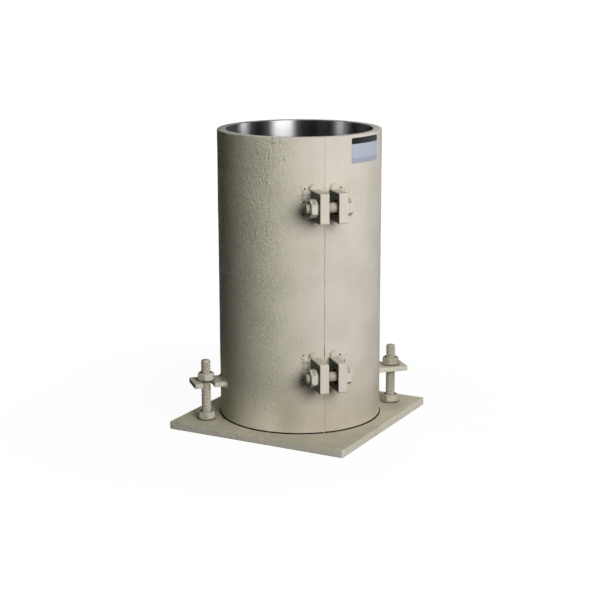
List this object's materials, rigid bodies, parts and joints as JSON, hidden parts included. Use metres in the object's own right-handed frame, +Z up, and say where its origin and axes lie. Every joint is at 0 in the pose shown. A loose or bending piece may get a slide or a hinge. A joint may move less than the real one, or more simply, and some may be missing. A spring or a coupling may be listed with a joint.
{
  "type": "concrete cylinder mould",
  "caption": "Split steel mould for casting concrete test cylinders: two half shells bolted together at lugs and held on a square base plate by studs and slotted lugs.",
  "frame": {"origin": "centre of the base plate's underside", "axes": "+Z up along the mould's axis; the plate's sides lie along X and Y, the front seam faces +X -Y and the studs stand on the X = Y diagonal"},
  "size_m": [0.2, 0.2, 0.307],
  "materials": {
    "shell_paint": "thick warm grey paint over a rough cast skin, satin",
    "plate_paint": "satin warm grey paint",
    "fastener_paint": "satin warm grey paint over threads and hexagons",
    "washer_steel": "dark bare steel",
    "label_vinyl": "blank pale label with a dark band"
  },
  "bodies": {
    "base": {"base_plate": "plate_paint", "left_stud": "fastener_paint", "right_stud": "fastener_paint", "left_foot_washer": "washer_steel", "right_foot_washer": "washer_steel", "left_lock_nut": "fastener_paint", "right_lock_nut": "fastener_paint"},
    "left_half": {"left_half_shell": "shell_paint", "left_hold_down_lug": "shell_paint", "left_upper_front_lug": "shell_paint", "left_lower_front_lug": "shell_paint", "left_upper_rear_lug": "shell_paint", "left_lower_rear_lug": "shell_paint", "left_welds": "shell_paint"},
    "right_half": {"right_half_shell": "shell_paint", "right_hold_down_lug": "shell_paint", "right_upper_front_lug": "shell_paint", "right_lower_front_lug": "shell_paint", "right_upper_rear_lug": "shell_paint", "right_lower_rear_lug": "shell_paint", "right_welds": "shell_paint", "blank_label": "label_vinyl"},
    "left_hold_down_washer": {"left_hold_down_washer": "washer_steel"},
    "left_hold_down_nut": {"left_hold_down_nut": "fastener_paint"},
    "right_hold_down_washer": {"right_hold_down_washer": "washer_steel"},
    "right_hold_down_nut": {"right_hold_down_nut": "fastener_paint"},
    "upper_front_bolt": {"upper_front_bolt": "fastener_paint"},
    "upper_front_washer": {"upper_front_washer": "washer_steel"},
    "upper_front_nut": {"upper_front_nut": "fastener_paint"},
    "lower_front_bolt": {"lower_front_bolt": "fastener_paint"},
    "lower_front_washer": {"lower_front_washer": "washer_steel"},
    "lower_front_nut": {"lower_front_nut": "fastener_paint"},
    "upper_rear_bolt": {"upper_rear_bolt": "fastener_paint"},
    "upper_rear_washer": {"upper_rear_washer": "washer_steel"},
    "upper_rear_nut": {"upper_rear_nut": "fastener_paint"},
    "lower_rear_bolt": {"lower_rear_bolt": "fastener_paint"},
    "lower_rear_washer": {"lower_rear_washer": "washer_steel"},
    "lower_rear_nut": {"lower_rear_nut": "fastener_paint"}
  },
  "joints": [
    {"name": "shell_twist", "type": "hinge", "parent": "base", "child": "left_half", "pos_m": [0, 0, 0.007], "axis": [0, 0, 1], "range_deg": [-55, 0]},
    {"name": "half_opening", "type": "slide", "parent": "left_half", "child": "right_half", "axis": [0.7071, 0.7071, 0], "range_m": [0, 0.0008]},
    {"name": "left_hold_down_nut_travel", "type": "slide", "parent": "base", "child": "left_hold_down_washer", "axis": [0, 0, 1], "range_m": [0, 0.01951]},
    {"name": "left_hold_down_nut_spin", "type": "hinge", "parent": "left_hold_down_washer", "child": "left_hold_down_nut", "pos_m": [-0.07212, -0.07212, 0.0504], "axis": [0, 0, 1], "range_deg": [0, 4680]},
    {"name": "right_hold_down_nut_travel", "type": "slide", "parent": "base", "child": "right_hold_down_washer", "axis": [0, 0, 1], "range_m": [0, 0.01951]},
    {"name": "right_hold_down_nut_spin", "type": "hinge", "parent": "right_hold_down_washer", "child": "right_hold_down_nut", "pos_m": [0.07212, 0.07212, 0.0504], "axis": [0, 0, 1], "range_deg": [0, 4680]},
    {"name": "upper_front_bolt_draw", "type": "slide", "parent": "right_half", "child": "upper_front_bolt", "axis": [0.7071, 0.7071, 0], "range_m": [0, 0.042]},
    {"name": "upper_front_nut_travel", "type": "slide", "parent": "left_half", "child": "upper_front_washer", "axis": [-0.7071, -0.7071, 0], "range_m": [0, 0.01201]},
    {"name": "upper_front_nut_spin", "type": "hinge", "parent": "upper_front_washer", "child": "upper_front_nut", "pos_m": [0.07319, -0.07319, 0.2415], "axis": [-0.7071, -0.7071, 0], "range_deg": [0, 2880]},
    {"name": "lower_front_bolt_draw", "type": "slide", "parent": "right_half", "child": "lower_front_bolt", "axis": [0.7071, 0.7071, 0], "range_m": [0, 0.042]},
    {"name": "lower_front_nut_travel", "type": "slide", "parent": "left_half", "child": "lower_front_washer", "axis": [-0.7071, -0.7071, 0], "range_m": [0, 0.01201]},
    {"name": "lower_front_nut_spin", "type": "hinge", "parent": "lower_front_washer", "child": "lower_front_nut", "pos_m": [0.07319, -0.07319, 0.0725], "axis": [-0.7071, -0.7071, 0], "range_deg": [0, 2880]},
    {"name": "upper_rear_bolt_draw", "type": "slide", "parent": "left_half", "child": "upper_rear_bolt", "axis": [-0.7071, -0.7071, 0], "range_m": [0, 0.042]},
    {"name": "upper_rear_nut_travel", "type": "slide", "parent": "right_half", "child": "upper_rear_washer", "axis": [0.7071, 0.7071, 0], "range_m": [0, 0.01201]},
    {"name": "upper_rear_nut_spin", "type": "hinge", "parent": "upper_rear_washer", "child": "upper_rear_nut", "pos_m": [-0.07319, 0.07319, 0.2415], "axis": [0.7071, 0.7071, 0], "range_deg": [0, 2880]},
    {"name": "lower_rear_bolt_draw", "type": "slide", "parent": "left_half", "child": "lower_rear_bolt", "axis": [-0.7071, -0.7071, 0], "range_m": [0, 0.042]},
    {"name": "lower_rear_nut_travel", "type": "slide", "parent": "right_half", "child": "lower_rear_washer", "axis": [0.7071, 0.7071, 0], "range_m": [0, 0.01201]},
    {"name": "lower_rear_nut_spin", "type": "hinge", "parent": "lower_rear_washer", "child": "lower_rear_nut", "pos_m": [-0.07319, 0.07319, 0.0725], "axis": [0.7071, 0.7071, 0], "range_deg": [0, 2880]}
  ],
  "couplings": [
    {"joint": "left_hold_down_nut_travel", "follows": "left_hold_down_nut_spin", "m_per_rad": 0.00023873},
    {"joint": "right_hold_down_nut_travel", "follows": "right_hold_down_nut_spin", "m_per_rad": 0.00023873},
    {"joint": "upper_front_nut_travel", "follows": "upper_front_nut_spin", "m_per_rad": 0.00023873},
    {"joint": "lower_front_nut_travel", "follows": "lower_front_nut_spin", "m_per_rad": 0.00023873},
    {"joint": "upper_rear_nut_travel", "follows": "upper_rear_nut_spin", "m_per_rad": 0.00023873},
    {"joint": "lower_rear_nut_travel", "follows": "lower_rear_nut_spin", "m_per_rad": 0.00023873}
  ]
}
